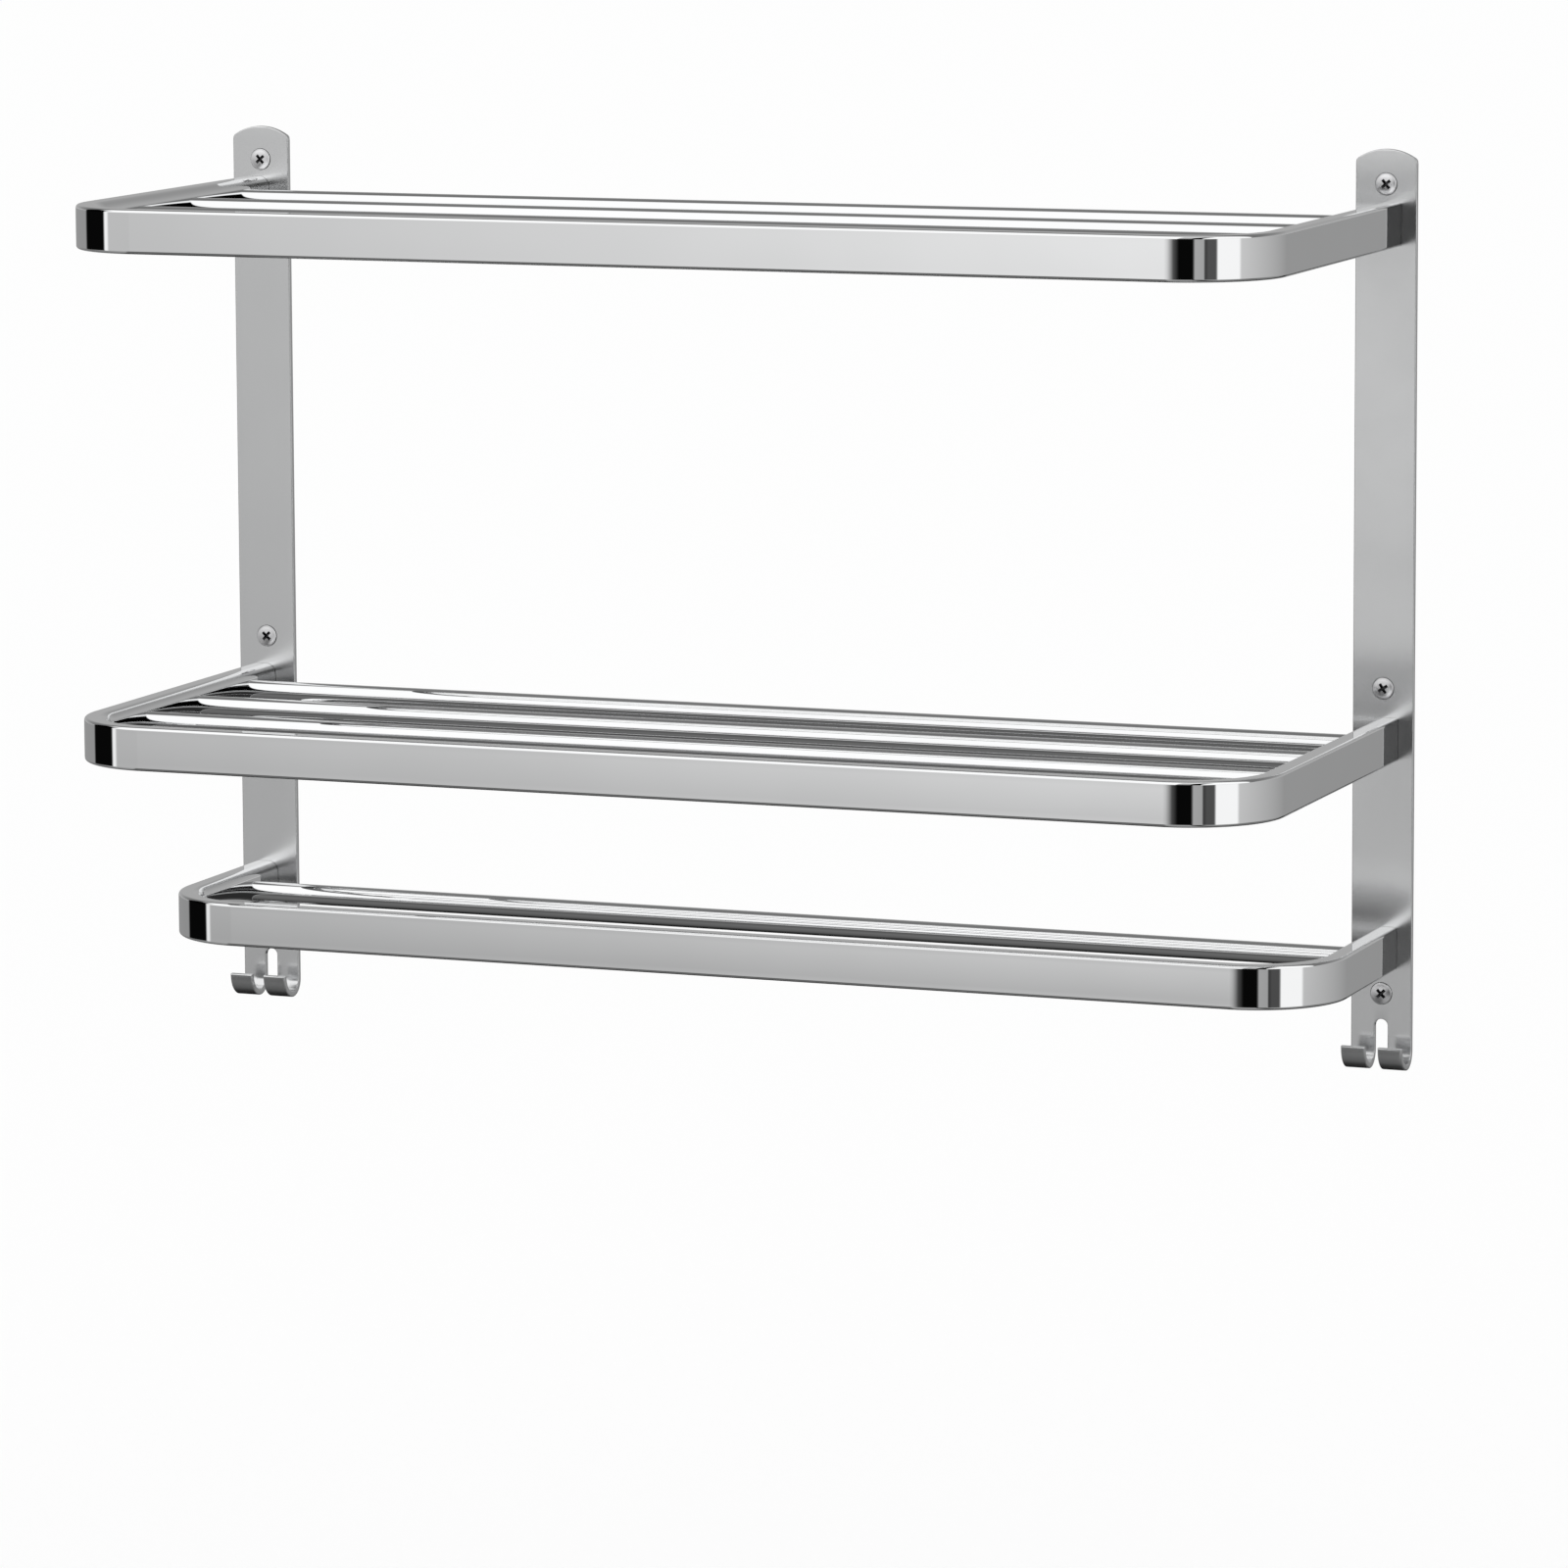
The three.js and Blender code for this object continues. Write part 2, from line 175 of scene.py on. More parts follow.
def lathe(name, profile, segments, sharp=30.0):
    """A solid of revolution about Y from [radius, y] points that start and end on the axis."""
    bm = bmesh.new()
    verts = [bm.verts.new((r * MM, y * MM, 0)) for r, y in profile]
    edges = [bm.edges.new(pair) for pair in zip(verts, verts[1:])]
    bmesh.ops.spin(
        bm, geom=verts + edges, axis=(0, 1, 0), cent=(0, 0, 0),
        angle=math.tau, steps=segments, use_merge=True,
    )
    bmesh.ops.remove_doubles(bm, verts=bm.verts, dist=1e-7)
    bmesh.ops.recalc_face_normals(bm, faces=bm.faces)
    mesh = bpy.data.meshes.new(name)
    bm.to_mesh(mesh)
    bm.free()
    obj = link(name, mesh)
    soften(obj, sharp)
    return obj


def soften(obj, sharp=30.0):
    """Smooth shading that breaks at edges sharper than the angle, and keeps large flats flat."""
    mesh = obj.data
    mesh.polygons.foreach_set("use_smooth", [True] * len(mesh.polygons))
    mesh.set_sharp_from_angle(angle=math.radians(sharp))
    weighted = obj.modifiers.new("flat_faces", "WEIGHTED_NORMAL")
    weighted.keep_sharp = True
    weighted.weight = 100


def apply_modifiers(obj):
    """Turns a piece's modifiers into plain mesh."""
    graph = bpy.context.evaluated_depsgraph_get()
    made = bpy.data.meshes.new_from_object(obj.evaluated_get(graph))
    obj.modifiers.clear()
    old = obj.data
    obj.data = made
    bpy.data.meshes.remove(old)


def cut(obj, cutters):
    """Subtracts each cutter from the object, then removes the cutters."""
    for cutter in cutters:
        mod = obj.modifiers.new("cut", "BOOLEAN")
        mod.operation, mod.solver, mod.object = "DIFFERENCE", "EXACT", cutter
    bpy.context.view_layer.update()
    apply_modifiers(obj)
    for cutter in cutters:
        bpy.data.objects.remove(cutter)


def cone_along_y(r0, y0, r1, y1, x, z):
    """A cutter: a cone or cylinder from radius r0 at y0 to radius r1 at y1."""
    obj = lathe("cutter", [(0, y0), (r0, y0), (r1, y1), (0, y1)], 64)
    obj.modifiers.clear()
    obj.data.transform(Matrix.Translation((x * MM, 0, z * MM)))
    return obj


def cross_cutters(face_y, turn, toward=1):
    """The two tapered arms of a cross recess, sunk from face_y along +Y (or -Y)."""
    cutters = []
    for extra in (0, 90):
        a, b = CROSS_HALF, CROSS_HALF_T
        top = [(a, b), (-a, b), (-a, -b), (a, -b)]
        low = [(x * CROSS_TAPER, z * CROSS_TAPER) for x, z in top]
        y0, y1 = face_y - 0.3 * toward, face_y + CROSS_DEPTH * toward
        cos_a, sin_a = math.cos(math.radians(turn + extra)), math.sin(math.radians(turn + extra))
        verts = []
        for ring, y in ((top, y0), (low, y1)):
            for px, pz in ring:
                x, z = px * cos_a - pz * sin_a, px * sin_a + pz * cos_a
                verts.append((x * MM, y * MM, z * MM))
        faces = [(0, 1, 2, 3), (7, 6, 5, 4)]
        faces += [(i, i + 4, (i + 1) % 4 + 4, (i + 1) % 4) for i in range(4)]
        mesh = bpy.data.meshes.new("cutter")
        mesh.from_pydata(verts, [], faces)
        bm = bmesh.new()
        bm.from_mesh(mesh)
        bmesh.ops.recalc_face_normals(bm, faces=bm.faces)
        bm.to_mesh(mesh)
        bm.free()
        cutters.append(link("cutter", mesh))
    return cutters


# ---------------------------------------------------------------- pieces
def strip_outline():
    """The outline of the bar before it is bent: legs and slot, sides, eased corners and dome."""
    half, slot_r = STRIP_W / 2, SLOT_W / 2
    foot = HOOK_BACK_R - BACK_RUN - FRONT_RUN - (HOOK_TIP_Z - HOOK_FRONT_R)
    dome_r = (half**2 + DOME_RISE**2) / (2 * DOME_RISE)
    ang = math.degrees(math.asin((half - DOME_CORNER_W) / dome_r))
    dome_arc = arc_points(0, STRIP_TOP - dome_r, dome_r, 90 - ang, 90 + ang, 48)
    dome = [(x, y) for x, y, *_ in dome_arc]
    tip_z = dome[0][1]
    ease = [
        (half, tip_z - DOME_CORNER_H),
        (half - 0.06, tip_z - DOME_CORNER_H * 0.62),
        (half - 0.28, tip_z - DOME_CORNER_H * 0.3),
    ]
    outline = [(half, foot)] + ease + dome + [(-x, z) for x, z in reversed(ease)]
    outline += [(-half, foot), (-slot_r, foot)]
    outline += [(x, y) for x, y, *_ in arc_points(0, SLOT_TOP - slot_r, slot_r, 180, 0, 24)]
    return outline + [(slot_r, foot)]


def flat_bar(name, side):
    """The bar before it is drilled and bent: its outline made solid, with rounded edges."""
    curve = bpy.data.curves.new(name, "CURVE")
    curve.dimensions, curve.fill_mode = "2D", "BOTH"
    curve.extrude = (STRIP_T / 2 - STRIP_EDGE_R) * MM
    curve.bevel_depth, curve.bevel_resolution = STRIP_EDGE_R * MM, 2
    curve.offset = -STRIP_EDGE_R * MM
    outline = strip_outline()
    spline = curve.splines.new("POLY")
    spline.points.add(len(outline) - 1)
    for p, (x, z) in zip(spline.points, outline):
        p.co = (x * MM, z * MM, 0, 1)
    spline.use_cyclic_u = True
    shaped = bpy.data.objects.new(name, curve)
    bpy.context.scene.collection.objects.link(shaped)
    bpy.context.view_layer.update()
    graph = bpy.context.evaluated_depsgraph_get()
    mesh = bpy.data.meshes.new_from_object(shaped.evaluated_get(graph))
    bpy.data.objects.remove(shaped)
    # The curve lies in XY with its thickness along Z: stand it up, front face at -STRIP_T.
    mesh.transform(Matrix.Rotation(math.radians(90), 4, "X"))
    mesh.transform(Matrix.Translation((side * STRIP_X * MM, -STRIP_T / 2 * MM, 0)))
    bm = bmesh.new()
    bm.from_mesh(mesh)
    bmesh.ops.remove_doubles(bm, verts=bm.verts, dist=1e-6)
    bmesh.ops.recalc_face_normals(bm, faces=bm.faces)
    bm.to_mesh(mesh)
    bm.free()
    return link(name, mesh)


def drill(obj, side):
    """Countersunk holes: for the wall screws from the front, for the frame screws from the back."""
    drills = []
    sink_r = HEAD_R + SINK_GAP
    for z in SCREW_Z.values():
        x, sink_end = side * STRIP_X, -STRIP_T + sink_r - WALL_HOLE_R
        drills.append(cone_along_y(sink_r + OVERCUT, -STRIP_T - OVERCUT, WALL_HOLE_R, sink_end, x, z))
        drills.append(cone_along_y(WALL_HOLE_R, -STRIP_T - 1, WALL_HOLE_R, 1, x, z))
    for top in TOPS.values():
        x, z = side * ARM_X, top - TUBE_H / 2
        drills.append(cone_along_y(FRAME_SINK_R + OVERCUT, OVERCUT, FRAME_HOLE_R, -FRAME_SINK_DEPTH, x, z))
        drills.append(cone_along_y(FRAME_HOLE_R, 1, FRAME_HOLE_R, -STRIP_T - 1, x, z))
    cut(obj, drills)


def roll_hooks(obj):
    """Draws lines across the bar's legs where they bend, then rolls them forward and up."""
    bm = bmesh.new()
    bm.from_mesh(obj.data)
    levels = [HOOK_BACK_R - BACK_RUN * i / HOOK_STEPS for i in range(HOOK_STEPS)]
    levels += [HOOK_BACK_R - BACK_RUN - FRONT_RUN * i / HOOK_STEPS for i in range(HOOK_STEPS + 1)]
    for level in levels:
        bmesh.ops.bisect_plane(
            bm, geom=bm.verts[:] + bm.edges[:] + bm.faces[:], dist=1e-8,
            plane_co=(0, 0, level * MM), plane_no=(0, 0, 1),
        )
    for v in bm.verts:
        y, z = v.co.y / MM, v.co.z / MM
        run = HOOK_BACK_R - z
        if run <= 0:
            continue
        past = max(run - BACK_RUN, 0)
        turn = min(run / BACK_RUN, 1) * math.pi / 2 + min(past / FRONT_RUN, 1) * math.pi / 2
        radius = HOOK_FRONT_R if past > 0 else HOOK_BACK_R
        v.co.y = (-HOOK_BACK_R + (y + radius) * math.cos(turn)) * MM
        v.co.z = (radius - (y + radius) * math.sin(turn) + max(past - FRONT_RUN, 0)) * MM
    bmesh.ops.recalc_face_normals(bm, faces=bm.faces)
    bm.to_mesh(obj.data)
    bm.free()


def wall_strip(name, side):
    """A flat bar with a domed top, drilled, whose slotted foot is rolled up into two hooks."""
    obj = flat_bar(name, side)
    drill(obj, side)
    roll_hooks(obj)
    soften(obj, 40)
    return obj


def rod(name, y, z):
    """A polished round tube, let into the arms' walls where it is welded to them."""
    half = FRAME_HALF_W - TUBE_T + TUBE_WALL / 2
    obj = lathe(name, [(0, -half), (ROD_R, -half), (ROD_R, half), (0, half)], 96, 40)
    obj.data.transform(Matrix.Rotation(math.radians(90), 4, "Z"))
    obj.data.transform(Matrix.Translation((0, -y * MM, z * MM)))
    return obj


def wood_screw(name, x, z, turn):
    """A raised countersunk screw with a cross recess; its thread is drawn as rings."""
    rim_y = -STRIP_T - HEAD_LIFT
    dome_y = rim_y - HEAD_RIM
    profile = [(0, dome_y - HEAD_DOME)]
    for i in range(1, 10):
        f = i / 10
        profile.append((HEAD_R * f, dome_y - HEAD_DOME * (1 - f * f)))
    profile += [(HEAD_R - 0.12, dome_y - 0.08), (HEAD_R, dome_y + 0.05), (HEAD_R, rim_y)]
    neck = rim_y + HEAD_R - WOOD_CORE_R
    profile.append((WOOD_CORE_R, neck))
    y = neck + 2.0
    end = rim_y + WOOD_LENGTH - WOOD_TIP
    while y + WOOD_PITCH < end:
        profile += [(WOOD_CORE_R, y), (WOOD_SHANK_R, y + 0.45), (WOOD_CORE_R, y + 0.9)]
        y += WOOD_PITCH
    profile += [(WOOD_CORE_R, end), (0, end + WOOD_TIP)]
    obj = lathe(name, profile, 64)
    obj.modifiers.clear()
    crown_y = dome_y - HEAD_DOME
    cut(obj, cross_cutters(crown_y, turn))
    # The faces sunk below the head's dome, inside the cross, are the dark ones: painted shade in the
    # recess.
    obj.data.materials.append(STEEL)
    obj.data.materials.append(RECESS)
    for face in obj.data.polygons:
        r = math.hypot(face.center.x, face.center.z) / MM
        below = face.center.y / MM - crown_y - HEAD_DOME * (r / HEAD_R) ** 2
        face.material_index = 1 if r < CROSS_HALF + 0.2 and 0.12 < below < 4 else 0
    obj.data.transform(Matrix.Translation((x * MM, 0, z * MM)))
    soften(obj, 28)
    return obj


def frame_screw(name, x, z):
    """A countersunk machine screw, driven from the back of the strip into a frame's end plug."""
    face = -WALL_GAP
    tip, shank, core, head = face - MACHINE_LENGTH, MACHINE_R, MACHINE_CORE_R, MACHINE_HEAD_R
    profile = [(0, tip), (shank - 0.5, tip), (shank, tip + 1)]
    y = tip + 1.5
    while y < face - 3.6:
        profile += [(core, y), (shank, y + MACHINE_PITCH / 2), (core, y + MACHINE_PITCH)]
        y += MACHINE_PITCH
    profile += [(shank, face - 2.2), (head, face - 0.2), (head, face - 0.05)]
    profile += [(head - 0.07, face), (0, face)]
    obj = lathe(name, profile, 56)
    obj.modifiers.clear()
    cut(obj, cross_cutters(face, 45, -1))
    obj.data.transform(Matrix.Translation((x * MM, 0, z * MM)))
    soften(obj, 28)
    return obj


def wall_plug(name, x, z):
    """A nylon plug with a collar, seven barbs and one slot across it."""
    bore, collar, body, barb, step = PLUG_BORE_R, PLUG_COLLAR_R, PLUG_R, PLUG_BARB_R, PLUG_BARB_STEP
    y0 = WALL_GAP
    end = y0 + PLUG_LENGTH
    profile = [(bore, y0), (collar - 0.2, y0), (collar, y0 + 0.2), (collar, y0 + 0.8), (3.0, y0 + 0.95)]
    for i in range(PLUG_BARBS):
        y = y0 + (i + 1) * step
        profile += [(body, y), (barb, y + step * 0.72), (barb, y + step * 0.86), (body, y + step * 0.95)]
    profile += [(body, end - step), (bore + 0.02, end - 1.0), (bore, end - 1.0), (bore, y0)]
    obj = lathe(name, profile, 56)
    obj.modifiers.clear()
    mesh = bpy.data.meshes.new("cutter")
    bm = bmesh.new()
    bmesh.ops.create_cube(bm, size=1.0)
    bmesh.ops.scale(bm, vec=[side * MM for side in PLUG_SLOT], verts=bm.verts)
    bmesh.ops.translate(bm, vec=(0, (y0 + 4.2 + PLUG_SLOT[1] / 2) * MM, 0), verts=bm.verts)
    bmesh.ops.rotate(bm, matrix=Matrix.Rotation(math.radians(45), 3, "Y"), verts=bm.verts)
    bm.to_mesh(mesh)
    bm.free()
    cut(obj, [link("cutter", mesh)])
    obj.data.transform(Matrix.Translation((x * MM, 0, z * MM)))
    soften(obj, 30)
    return obj


# ---------------------------------------------------------------- materials
def nodes_of(mat):
    """A material's node tree, its nodes, its links and its main shader."""
    mat.use_nodes = True
    tree = mat.node_tree
    return tree, tree.nodes, tree.links, tree.nodes["Principled BSDF"]


def ramp(tree, fac, stops):
    """A linear colour ramp from (position, colour) stops."""
    node = tree.nodes.new("ShaderNodeValToRGB")
    node.color_ramp.interpolation = "LINEAR"
    els = node.color_ramp.elements
    while len(els) > 1:
        els.remove(els[-1])
    els[0].position, els[0].color = stops[0][0], (*stops[0][1], 1)
    for pos, colour in stops[1:]:
        els.new(pos).color = (*colour, 1)
    tree.links.new(fac, node.inputs["Fac"])
    return node.outputs["Color"]


def noise(tree, scale, detail, stretch=(1, 1, 1), rough=0.5):
    """A noise texture in the piece's own coordinates."""
    coord = tree.nodes.new("ShaderNodeTexCoord")
    mapping = tree.nodes.new("ShaderNodeMapping")
    mapping.inputs["Scale"].default_value = stretch
    tex = tree.nodes.new("ShaderNodeTexNoise")
    tex.inputs["Scale"].default_value = scale
    tex.inputs["Detail"].default_value = detail
    tex.inputs["Roughness"].default_value = rough
    tree.links.new(coord.outputs["Object"], mapping.inputs["Vector"])
    tree.links.new(mapping.outputs["Vector"], tex.inputs["Vector"])
    return tex.outputs["Fac"]


def metal(name, tint, rough, grain, grain_strength):
    """A metal, from mirror-bright to matt: a slight haze, a faint mottle and fine surface lines."""
    mat = bpy.data.materials.new(name)
    tree, nodes, links, bsdf = nodes_of(mat)
    bsdf.inputs["Metallic"].default_value = 1.0
    haze = noise(tree, 22.0, 5.0, (1, 1, 1), 0.6)
    low, high = rough
    links.new(ramp(tree, haze, [(0.35, (low,) * 3), (0.72, (high,) * 3)]), bsdf.inputs["Roughness"])
    dull = [c * 0.955 for c in tint]
    links.new(ramp(tree, noise(tree, 9.0, 3.0), [(0.3, dull), (0.7, tint)]), bsdf.inputs["Base Color"])
    lines = noise(tree, 900.0, 3.0, grain, 0.7)
    bump = nodes.new("ShaderNodeBump")
    bump.inputs["Strength"].default_value = grain_strength
    bump.inputs["Distance"].default_value = 0.00002
    links.new(lines, bump.inputs["Height"])
    links.new(bump.outputs["Normal"], bsdf.inputs["Normal"])
    return mat


def moulded(name, base, shade):
    """Moulded plastic: mottled colour and a fine spark-eroded grain."""
    mat = bpy.data.materials.new(name)
    tree, nodes, links, bsdf = nodes_of(mat)
    colour = ramp(tree, noise(tree, 160.0, 4.0), [(0.3, shade), (0.7, base)])
    links.new(colour, bsdf.inputs["Base Color"])
    rough = ramp(tree, noise(tree, 500.0, 4.0), [(0.3, (0.42,) * 3), (0.7, (0.58,) * 3)])
    links.new(rough, bsdf.inputs["Roughness"])
    bump = nodes.new("ShaderNodeBump")
    bump.inputs["Strength"].default_value = 0.25
    bump.inputs["Distance"].default_value = 0.00008
    links.new(noise(tree, 1400.0, 3.0), bump.inputs["Height"])
    links.new(bump.outputs["Normal"], bsdf.inputs["Normal"])
    return mat


CHROME = metal("polished_chrome_bar", (0.93, 0.935, 0.94), (0.004, 0.010), (0.02, 1, 1), 0.0015)
CHROME_STRIP = metal("satin_chrome_strip", (0.785, 0.79, 0.795), (0.18, 0.21), (1, 1, 0.02), 0.05)
STEEL = metal("bright_screw_steel", (0.84, 0.84, 0.85), (0.16, 0.24), (1, 1, 1), 0.2)
# Painted shade: a near-black metal that stands for the shade inside the screws' cross recesses.
RECESS = metal("screw_recess_shadow", (0.10, 0.10, 0.105), (0.40, 0.55), (1, 1, 1), 0.3)
ZINC = metal("cast_zinc", (0.60, 0.61, 0.63), (0.38, 0.55), (1, 1, 1), 0.6)
PLATED = metal("zinc_plated_screw", (0.72, 0.73, 0.70), (0.22, 0.36), (1, 1, 1), 0.3)
NYLON = moulded("grey_nylon", (0.50, 0.50, 0.49), (0.43, 0.43, 0.42))


# ---------------------------------------------------------------- the rack
def finish_piece(obj, material, node):
    """Gives a piece its material, unless it has its own, and puts it in its node's place."""
    if material:
        obj.data.materials.clear()
        obj.data.materials.append(material)
    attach(obj, BODY)
    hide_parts(node)


def build_rack():
    fronts = {"top_shelf": SHELF_FRONT, "middle_shelf": SHELF_FRONT, "towel_rail": RAIL_FRONT}
    for frame_name, top in TOPS.items():
        node = f"{frame_name}_frame"
        tube = bent_tube(f"{node}_tube", fronts[frame_name], top)
        finish_piece(tube, CHROME, node)
    for frame_name in ("top_shelf", "middle_shelf"):
        for row, y in ROD_ROWS.items():
            node = f"{frame_name}_rod_{row}"
            bar = rod(f"{node}_bar", y, TOPS[frame_name] - SHELF_ROD_DROP)
            finish_piece(bar, CHROME, node)
    bar = rod("towel_rail_rod_bar", ROD_ROWS["rear"], TOPS["towel_rail"] - RAIL_ROD_DROP)
    finish_piece(bar, CHROME, "towel_rail_rod")
    for hand, side in (("left", -1), ("right", 1)):
        node = f"{hand}_wall_strip"
        plate = wall_strip(f"{node}_plate", side)
        finish_piece(plate, CHROME_STRIP, node)
        for place, z in SCREW_Z.items():
            node = f"{hand}_{place}_wall_screw"
            screw = wood_screw(f"{node}_turned", side * STRIP_X, z, CROSS_TURN[f"{hand}_{place}"])
            finish_piece(screw, None, node)
            node = f"{hand}_{place}_wall_plug"
            sleeve = wall_plug(f"{node}_moulded", side * STRIP_X, z)
            finish_piece(sleeve, NYLON, node)
        for frame_name, top in TOPS.items():
            node = f"{frame_name}_{hand}_frame_screw"
            screw = frame_screw(f"{node}_turned", side * ARM_X, top - TUBE_H / 2)
            finish_piece(screw, PLATED, node)
            # The end plugs keep the CAD's shape.
            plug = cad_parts[f"{frame_name}_{hand}_end_plug"]
            plug.data.materials.clear()
            plug.data.materials.append(ZINC)


# ---------------------------------------------------------------- camera, light and floor
def make_camera():
    """A long lens from the right front, looking down a little, with the frame moved down."""
    yaw, pitch, roll = map(math.radians, (21.003, 7.478, -0.249))
    target, distance = Vector((-0.0131, -0.003, 0.1993)), 3.6299
    back = Vector((math.sin(yaw) * math.cos(pitch), -math.cos(yaw) * math.cos(pitch), math.sin(pitch)))
    right = Vector((math.cos(yaw), math.sin(yaw), 0))
    up = back.cross(right)
    x_axis = right * math.cos(roll) + up * math.sin(roll)
    y_axis = up * math.cos(roll) - right * math.sin(roll)
    place = target + back * distance
    cam = bpy.data.cameras.new("camera")
    cam.sensor_width, cam.lens, cam.shift_y = 36.0, 169.8, -0.1
    cam.clip_start, cam.clip_end = 0.1, 200
    obj = bpy.data.objects.new("camera", cam)
    bpy.context.scene.collection.objects.link(obj)
    obj.matrix_world = Matrix((x_axis, y_axis, back)).transposed().to_4x4()
    obj.matrix_world.translation = place
    bpy.context.scene.camera = obj


def grey(value):
    """Linear light for an sRGB grey from 0 to 255."""
    c = value / 255
    return ((c / 12.92) if c <= 0.04045 else ((c + 0.055) / 1.055) ** 2.4,) * 3


def make_studio():
    """A white studio: softboxes and dark flags all round, seen only as reflections in the chrome."""
    world = bpy.data.worlds.new("studio")
    bpy.context.scene.world = world
    world.use_nodes = True
    world.cycles.sampling_method = "NONE"
    tree = world.node_tree
    nodes, links = tree.nodes, tree.links
    nodes.clear()

    def math_node(op, a, b=None, clamp=False):
        n = nodes.new("ShaderNodeMath")
        n.operation, n.use_clamp = op, clamp
        for i, v in enumerate((a, b)):
            if v is None:
                continue
            if isinstance(v, (int, float)):
                n.inputs[i].default_value = v
            else:
                links.new(v, n.inputs[i])
        return n.outputs[0]

    def step(value, start, end):
        """0 up to start and 1 from end on, with an even slope between."""
        return math_node("MULTIPLY", math_node("SUBTRACT", value, start), 1 / (end - start), clamp=True)

    def band(value, start, end, blur):
        """1 from start to end, and 0 beyond the blur on either side."""
        return math_node("MULTIPLY", step(value, start - blur, start), step(value, end + blur, end))

    def flag(across, up):
        """The light that gets past a dark flag, from how far it covers each way."""
        return math_node("SUBTRACT", 1.0, math_node("MULTIPLY", across, up))

    def mix(fac, a, b):
        n = nodes.new("ShaderNodeMix")
        n.data_type = "RGBA"
        links.new(fac, n.inputs[0])
        for sock, v in ((n.inputs[6], a), (n.inputs[7], b)):
            if isinstance(v, tuple):
                sock.default_value = (*v, 1)
            else:
                links.new(v, sock)
        return n.outputs[2]

    coord = nodes.new("ShaderNodeTexCoord")
    xyz = nodes.new("ShaderNodeSeparateXYZ")
    links.new(coord.outputs["Generated"], xyz.inputs[0])
    x, y, z = xyz.outputs
    deg = 180 / math.pi
    minus_y = math_node("MULTIPLY", y, -1.0)
    azimuth = math_node("MULTIPLY", math_node("ARCTAN2", x, minus_y), deg)
    height = math_node("MULTIPLY", math_node("ARCSINE", z), deg)
    over = math_node("MULTIPLY", math_node("ARCTAN2", z, minus_y), deg)
    az_fac = math_node("ADD", math_node("MULTIPLY", azimuth, 1 / 360), 0.5)
    over_fac = math_node("ADD", math_node("MULTIPLY", over, 1 / 360), 0.5)

    def by_degrees(fac, stops):
        return ramp(tree, fac, [((a + 180) / 360, grey(v)) for a, v in stops])

    # Round the horizon: just under it, and lower down.
    upper = by_degrees(az_fac, [
        (-180, 152), (-101, 150), (-98, 8), (-64, 8), (-62, 250), (-58.5, 250), (-56, 194), (-26.5, 194),
        (-23, 216), (-18.6, 238), (-15, 238), (-11, 215), (-4, 80), (2, 8), (19.3, 8), (20.7, 172),
        (31.3, 168), (32.5, 50), (36, 82), (46, 82), (47.5, 255), (74, 255), (76.5, 205), (159, 152)])
    lower = by_degrees(az_fac, [
        (-180, 150), (-101, 146), (-98, 8), (-64, 8), (-62, 235), (-58.5, 235), (-56, 166), (-26.5, 166),
        (-23, 174), (-18.6, 184), (-15, 186), (-11, 170), (-4, 70), (2, 8), (19.3, 8), (20.7, 164),
        (31.3, 160), (32.5, 45), (36, 76), (46, 76), (47.5, 252), (74, 252), (76.5, 192), (159, 148)])
    drop = step(height, -2.8, -10.8)
    horizon = mix(math_node("MULTIPLY", drop, drop), upper, lower)
    # Over the top from front to back, less four flags: one stands at the left front, a low
    # one straight ahead, and overhead to the right are a black one and, further in, a grey one.
    above = by_degrees(over_fac, [
        (-3, 205), (8, 228), (11, 264), (60, 264), (91, 264), (95, 140), (109, 114), (130, 122),
        (148, 140), (162, 162), (172, 172), (180, 165)])
    left_flag = flag(band(azimuth, -98.0, -64.0, 1.5), step(height, 42.0, 36.0))
    low_flag = flag(band(azimuth, 1.0, 19.5, 1.5), step(height, 12.0, 8.0))
    black_flag = flag(band(x, 0.30, 0.48, 0.02), band(over, -4.0, 66.0, 5.0))
    grey_flag = flag(band(x, 0.04, 0.29, 0.03), math_node("MULTIPLY", band(over, 10.0, 62.0, 6.0), 0.62))
    tall = nodes.new("ShaderNodeMix")
    tall.data_type, tall.blend_type = "RGBA", "MULTIPLY"
    tall.inputs[0].default_value = 1.0
    links.new(above, tall.inputs[6])
    corner_flags = math_node("MULTIPLY", left_flag, low_flag)
    overhead_flags = math_node("MULTIPLY", black_flag, grey_flag)
    links.new(math_node("MULTIPLY", corner_flags, overhead_flags), tall.inputs[7])
    # Underneath: a pale floor with a dark cloth on its left half, one behind to the right,
    # and a dark band in front, under the black overhead flag.
    floor_pale = by_degrees(over_fac, [
        (-178, 140), (-140, 125), (-105, 110), (-80, 125), (-45, 150), (-26, 165), (-12, 170)])
    floor_dark = by_degrees(over_fac, [
        (-178, 20), (-140, 20), (-105, 45), (-80, 92), (-45, 108), (-26, 92), (-12, 88)])
    back_cloth = math_node("MULTIPLY", band(x, 0.15, 0.42, 0.05), step(over, -110.0, -120.0))
    below = mix(math_node("ADD", band(x, -0.47, -0.24, 0.05), back_cloth), floor_pale, floor_dark)
    under_flag = math_node("MULTIPLY", band(x, 0.30, 0.48, 0.02), step(over, -115.0, -105.0))
    below = mix(under_flag, below, grey(45))
    sky = mix(step(height, -2.8, -2.2), horizon, tall.outputs[2])
    sky = mix(step(height, -12.0, -13.0), sky, below)

    path = nodes.new("ShaderNodeLightPath")
    soft = mix(path.outputs["Is Glossy Ray"], (1.04, 1.04, 1.04), sky)
    seen = mix(path.outputs["Is Camera Ray"], soft, (1.0, 1.0, 1.0))
    shader = nodes.new("ShaderNodeBackground")
    out = nodes.new("ShaderNodeOutputWorld")
    links.new(seen, shader.inputs["Color"])
    links.new(shader.outputs[0], out.inputs["Surface"])


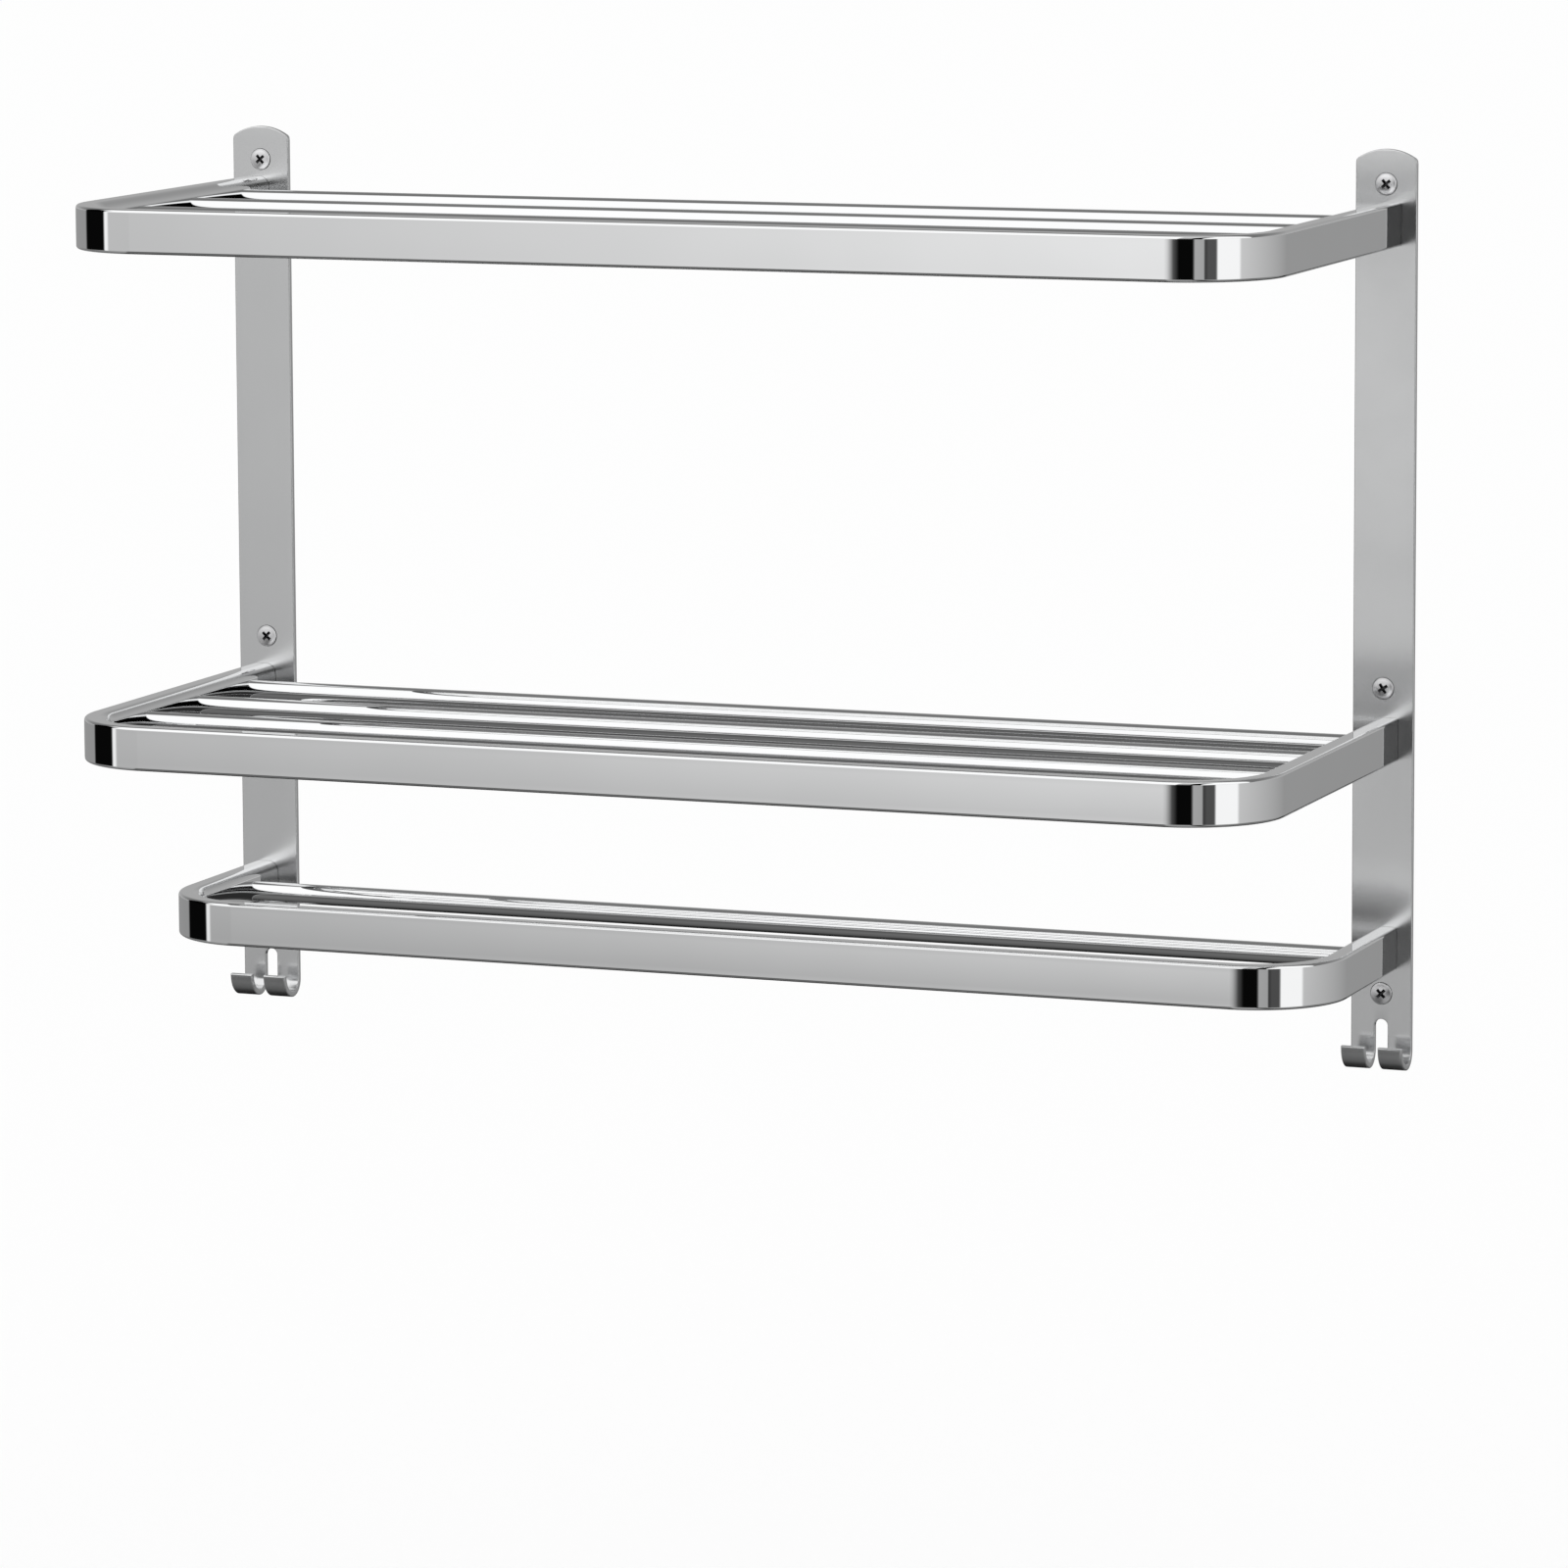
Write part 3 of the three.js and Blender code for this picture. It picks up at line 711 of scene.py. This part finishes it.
def make_floor():
    """A pale floor, seen from above only and left out of the chrome's reflections."""
    mesh = bpy.data.meshes.new("studio_floor")
    half, z = 40.0, -0.45
    corners = [(-half, -half, z), (half, -half, z), (half, half, z), (-half, half, z)]
    mesh.from_pydata(corners, [], [(0, 1, 2, 3)])
    floor = link("studio_floor", mesh)
    mat = bpy.data.materials.new("pale_floor")
    _, nodes, links, bsdf = nodes_of(mat)
    bsdf.inputs["Base Color"].default_value = (0.95, 0.95, 0.95, 1)
    bsdf.inputs["Roughness"].default_value = 1.0
    bsdf.inputs["Specular IOR Level"].default_value = 0.0
    clear = nodes.new("ShaderNodeBsdfTransparent")
    side = nodes.new("ShaderNodeNewGeometry")
    blend = nodes.new("ShaderNodeMixShader")
    links.new(side.outputs["Backfacing"], blend.inputs[0])
    links.new(bsdf.outputs[0], blend.inputs[1])
    links.new(clear.outputs[0], blend.inputs[2])
    links.new(blend.outputs[0], nodes["Material Output"].inputs["Surface"])
    mesh.materials.append(mat)
    floor.visible_glossy = False


make_camera()
build_rack()
make_studio()
make_floor()
bpy.context.scene.view_settings.view_transform = "Standard"
bpy.context.scene.view_settings.look = "None"
